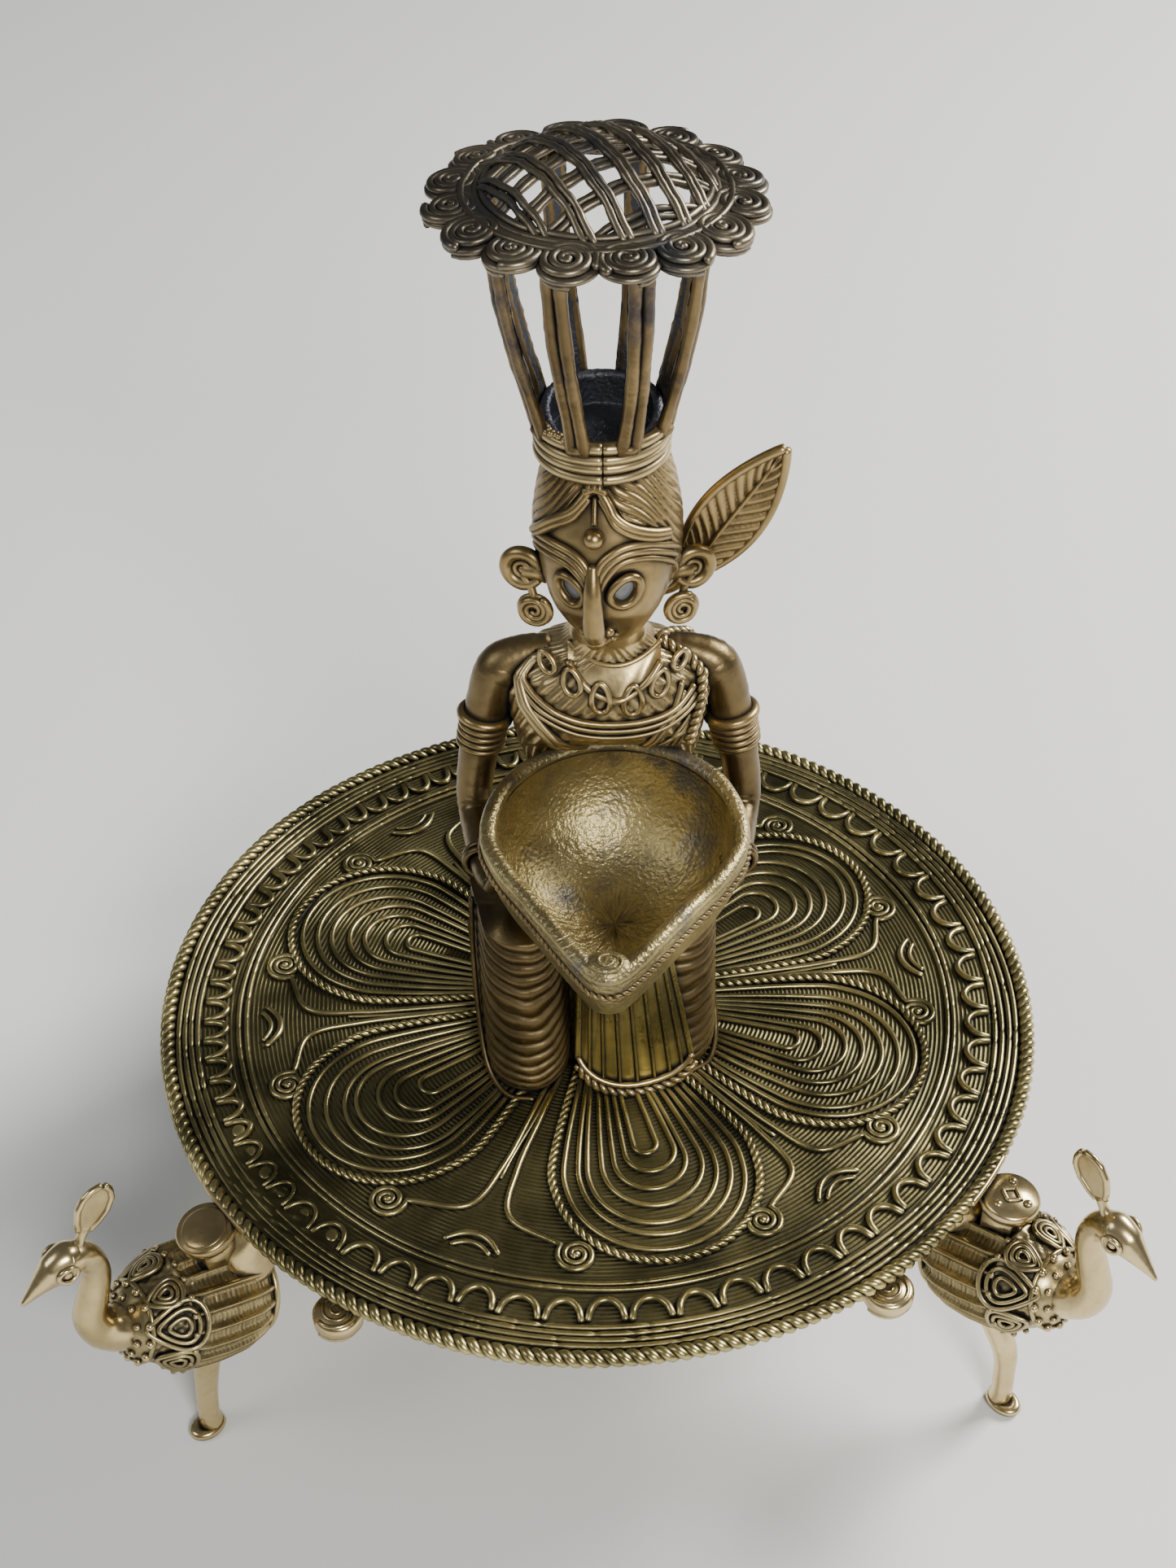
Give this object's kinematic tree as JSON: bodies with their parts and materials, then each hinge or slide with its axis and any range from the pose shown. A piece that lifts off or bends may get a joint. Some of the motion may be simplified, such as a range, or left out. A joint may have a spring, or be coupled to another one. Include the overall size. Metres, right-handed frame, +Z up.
{
  "type": "standing oil lamp",
  "caption": "Standing brass oil lamp: a kneeling figure holds a pear-shaped oil bowl and carries a latticed basket, on a round patterned plate with bird feet.",
  "frame": {"origin": "on the standing surface, under the middle of the outline seen from above", "axes": "+Z up; -Y towards the spout and the figure's face; +X to the right for someone facing the lamp"},
  "size_m": [0.2254, 0.2452, 0.2775],
  "materials": {
    "antique_brass": "cast, dark olive in the hollows, bright on the ridges",
    "polished_brass": "polished on the high places, dark in the grooves",
    "warm_brass": "satin, warm brown in the hollows",
    "dark_bronze": "dull, tarnished blue-black inside"
  },
  "bodies": {
    "root": {"plate": "antique_brass", "rim_rope": "antique_brass", "thread_rings": "antique_brass", "scallop_band": "antique_brass", "petal_1": "antique_brass", "petal_2": "antique_brass", "petal_3": "antique_brass", "petal_4": "antique_brass", "petal_5": "antique_brass", "petal_6": "antique_brass", "scrolls": "antique_brass", "crescents": "antique_brass", "left_bird_body": "polished_brass", "left_bird_neck": "polished_brass", "left_bird_crest": "polished_brass", "left_bird_wings": "polished_brass", "left_bird_leg": "polished_brass", "left_bird_tail": "polished_brass", "left_rim_tab": "polished_brass", "right_bird_body": "polished_brass", "right_bird_neck": "polished_brass", "right_bird_crest": "polished_brass", "right_bird_wings": "polished_brass", "right_bird_leg": "polished_brass", "right_bird_tail": "polished_brass", "right_rim_tab": "polished_brass", "back_bird_body": "polished_brass", "back_bird_neck": "polished_brass", "back_bird_crest": "polished_brass", "back_bird_wings": "polished_brass", "back_bird_leg": "polished_brass", "back_bird_tail": "polished_brass", "back_rim_tab": "polished_brass", "left_thigh": "warm_brass", "right_thigh": "warm_brass", "shins": "warm_brass", "apron": "warm_brass", "apron_rope": "warm_brass", "torso": "warm_brass", "necklace": "polished_brass", "sash": "warm_brass", "left_arm": "warm_brass", "right_arm": "warm_brass", "armlets": "warm_brass", "oil_bowl": "warm_brass", "bowl_rope": "warm_brass", "head": "warm_brass", "hair": "warm_brass", "brow_ornament": "warm_brass", "ears": "warm_brass", "earrings": "warm_brass", "hair_leaf": "warm_brass", "basket_collar": "polished_brass", "basket_cup": "dark_bronze", "basket_bars": "warm_brass", "canopy_ring": "dark_bronze", "canopy_rosettes": "dark_bronze", "canopy_dome": "dark_bronze", "centre_stud": "polished_brass", "stud_nut": "polished_brass"}
  },
  "joints": []
}
